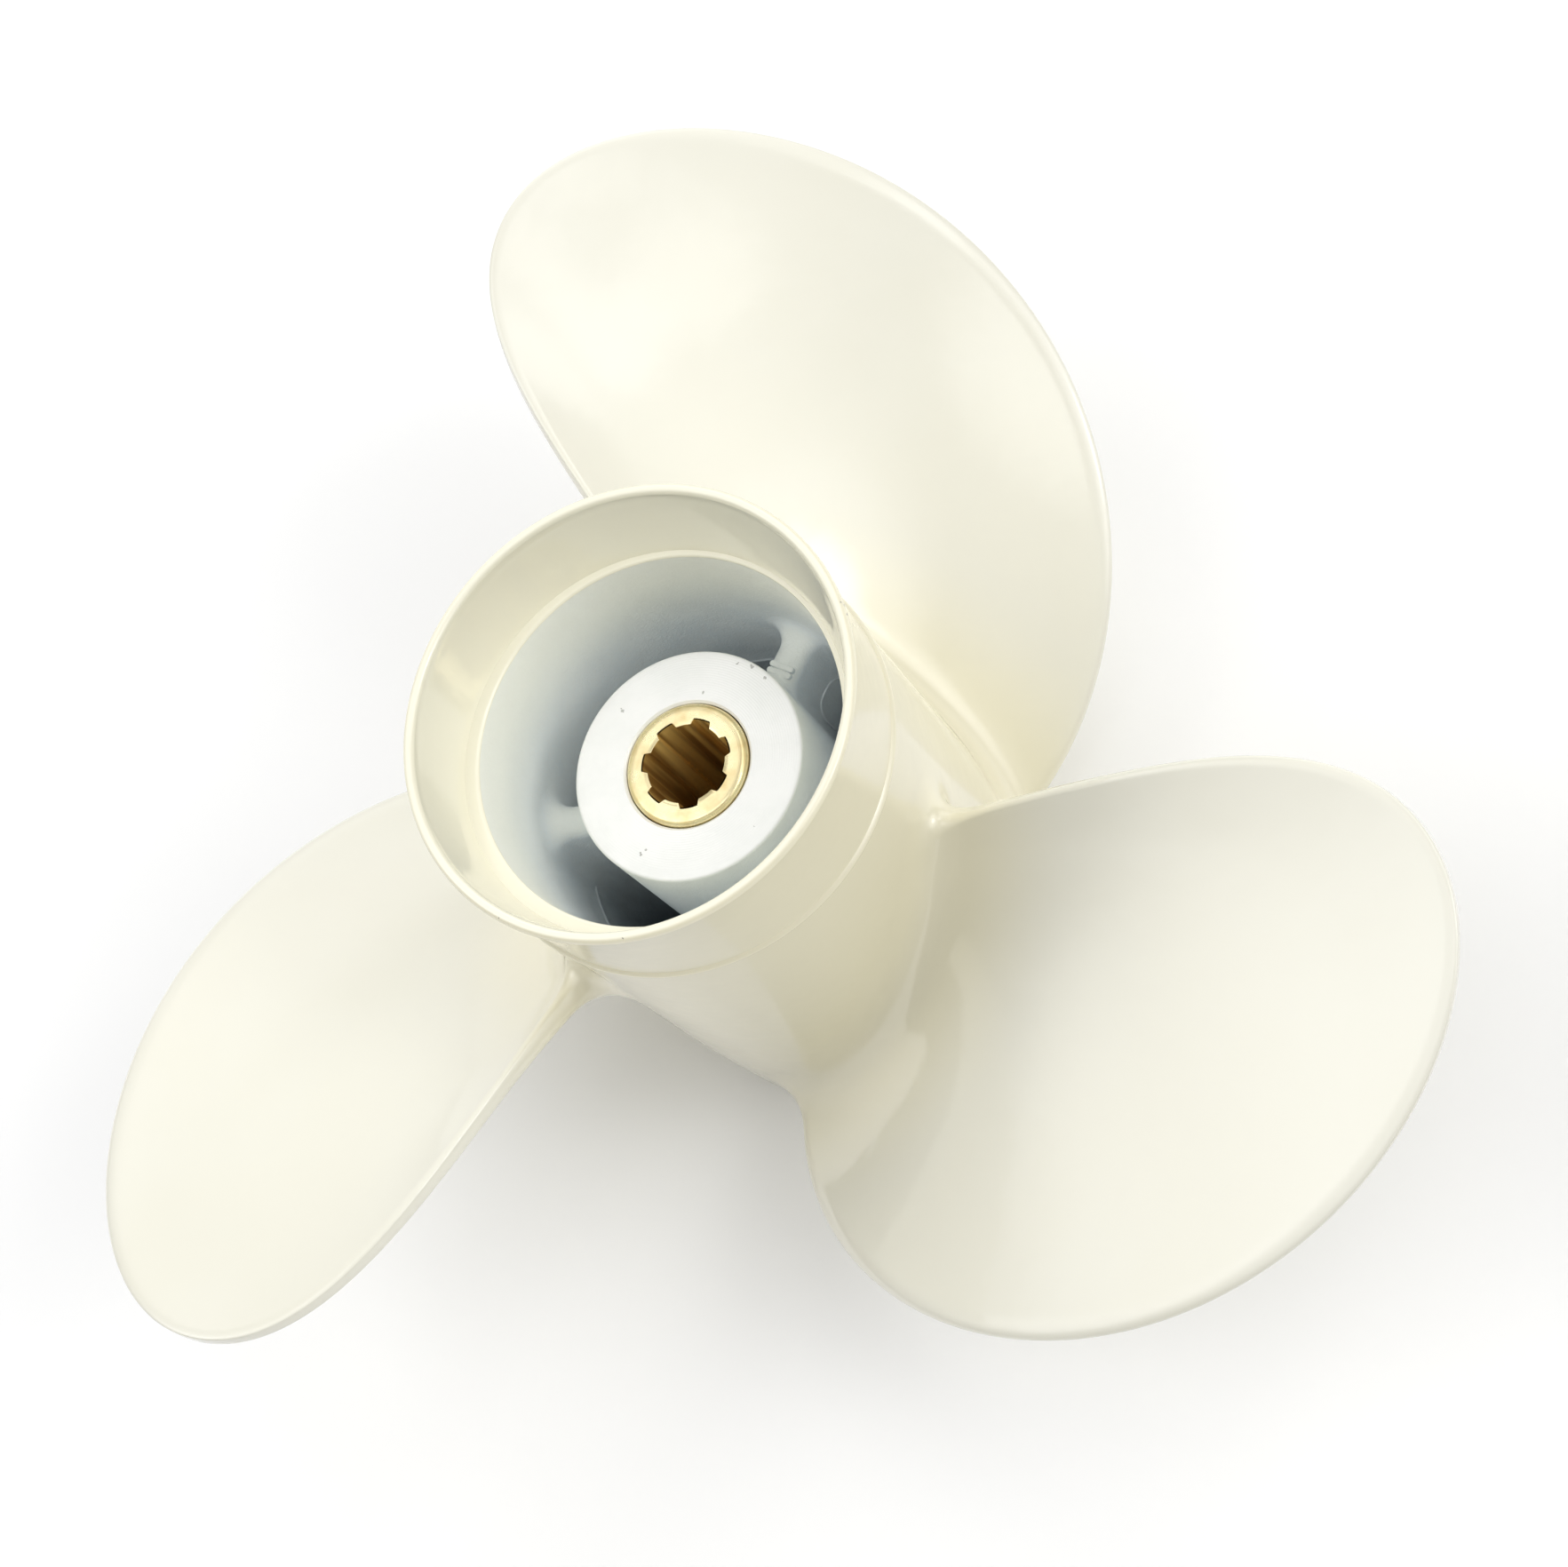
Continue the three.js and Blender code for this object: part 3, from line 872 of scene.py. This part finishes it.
FIRST_BLADE = blade_rows()
for index in range(BLADE_COUNT):
    name = f"blade_{index + 1}"
    rows = [turned(row, index * 360 / BLADE_COUNT) for row in FIRST_BLADE]
    piece(f"{name}_skin", rows, False, [PAINT], "casting", [name])


# ---------------------------------------------------------------- floor, lights and camera

def floor():
    """A plain pale floor just under the forward end of the hub. Its size is in metres."""
    size = 3.0
    corners = [(-size, -size, 0), (size, -size, 0), (size, size, 0), (-size, size, 0)]
    mesh = bpy.data.meshes.new("floor")
    mesh.from_pydata(corners, [], [(0, 1, 2, 3)])
    made = bpy.data.objects.new("floor", mesh)
    made.location.z = -0.05 * MM
    bpy.context.scene.collection.objects.link(made)
    finish = Finish("floor")
    finish.set(Base_Color=(0.93, 0.93, 0.93, 1), Roughness=0.9)
    mesh.materials.append(finish.material)


def towards(azimuth, elevation):
    """A direction. Azimuth 0 is -Y, and it grows towards +X."""
    a, e = math.radians(azimuth), math.radians(elevation)
    return Vector((math.sin(a) * math.cos(e), -math.cos(a) * math.cos(e), math.sin(e)))


def studio():
    """A pale room with soft-edged windows: azimuth, elevation and half width in degrees, strength.

    The paleness shows behind the floor's edge. Only the windows give light.
    """
    paleness = 0.9
    windows = [
        (90, 36, 34, 2.5),
        (90, 38, 12, 5.0),
        (45, 36, 34, 0.25),
        (0, 62, 34, 0.55),
        (30, 76, 12, 2.0),
        (180, 36, 34, 1.75),
        (210, 12, 34, 1.0),
        (240, 62, 34, 0.35),
        (228, 62, 12, 1.6),
        (270, 36, 34, 0.8),
        (275, 35, 20, 1.8),
        (300, 62, 34, 1.4),
        (136, 64, 20, 1.5),
        (124, 68, 6, 1.4),
        (132, 61, 6, 1.6),
        (139, 52, 6, 1.5),
    ]
    world = bpy.data.worlds.new("studio")
    world.use_nodes = True
    tree = world.node_tree
    sky = tree.nodes.new("ShaderNodeVectorMath")
    sky.operation = "NORMALIZE"
    tree.links.new(tree.nodes.new("ShaderNodeTexCoord").outputs["Generated"], sky.inputs[0])
    total = None
    for azimuth, elevation, half_width, strength in windows:
        facing = tree.nodes.new("ShaderNodeVectorMath")
        facing.operation = "DOT_PRODUCT"
        tree.links.new(sky.outputs["Vector"], facing.inputs[0])
        facing.inputs[1].default_value = towards(azimuth, elevation)
        patch = tree.nodes.new("ShaderNodeMapRange")
        patch.interpolation_type = "SMOOTHSTEP"
        tree.links.new(facing.outputs["Value"], patch.inputs["Value"])
        patch.inputs["From Min"].default_value = math.cos(math.radians(half_width))
        patch.inputs["From Max"].default_value = 1.0
        patch.inputs["To Max"].default_value = strength
        if total:
            added = tree.nodes.new("ShaderNodeMath")
            tree.links.new(total, added.inputs[0])
            tree.links.new(patch.outputs["Result"], added.inputs[1])
            total = added.outputs[0]
        else:
            total = patch.outputs["Result"]
    seen = tree.nodes.new("ShaderNodeMix")
    tree.links.new(tree.nodes.new("ShaderNodeLightPath").outputs["Is Camera Ray"], seen.inputs["Factor"])
    tree.links.new(total, seen.inputs["A"])
    seen.inputs["B"].default_value = paleness
    tree.links.new(seen.outputs["Result"], tree.nodes["Background"].inputs["Strength"])
    tree.nodes["Background"].inputs["Color"].default_value = (1, 1, 1, 1)
    bpy.context.scene.world = world
    bpy.context.scene.view_settings.view_transform = "Standard"
    bpy.context.scene.view_settings.look = "None"


def camera():
    """The camera stands aft and to one side of the hub, rolled so that the first rib is to the right."""
    target = Vector((14.36, -3.74, 73.4)) * MM
    azimuth, elevation, roll = 46.35, 61.13, math.radians(46.54)
    distance = 387.5 * MM
    back = towards(azimuth, elevation)
    level = towards(azimuth + 90, 0)
    upright = back.cross(level)
    up = upright * math.cos(roll) + level * math.sin(roll)
    right = up.cross(back)
    data = bpy.data.cameras.new("camera")
    data.lens = 66.37
    data.sensor_width = 36
    data.clip_start, data.clip_end = 0.01, 20
    made = bpy.data.objects.new("camera", data)
    facing = Matrix((right, up, back)).transposed().to_4x4()
    made.matrix_world = Matrix.Translation(target + back * distance) @ facing
    bpy.context.scene.collection.objects.link(made)
    bpy.context.scene.camera = made


floor()
studio()
camera()
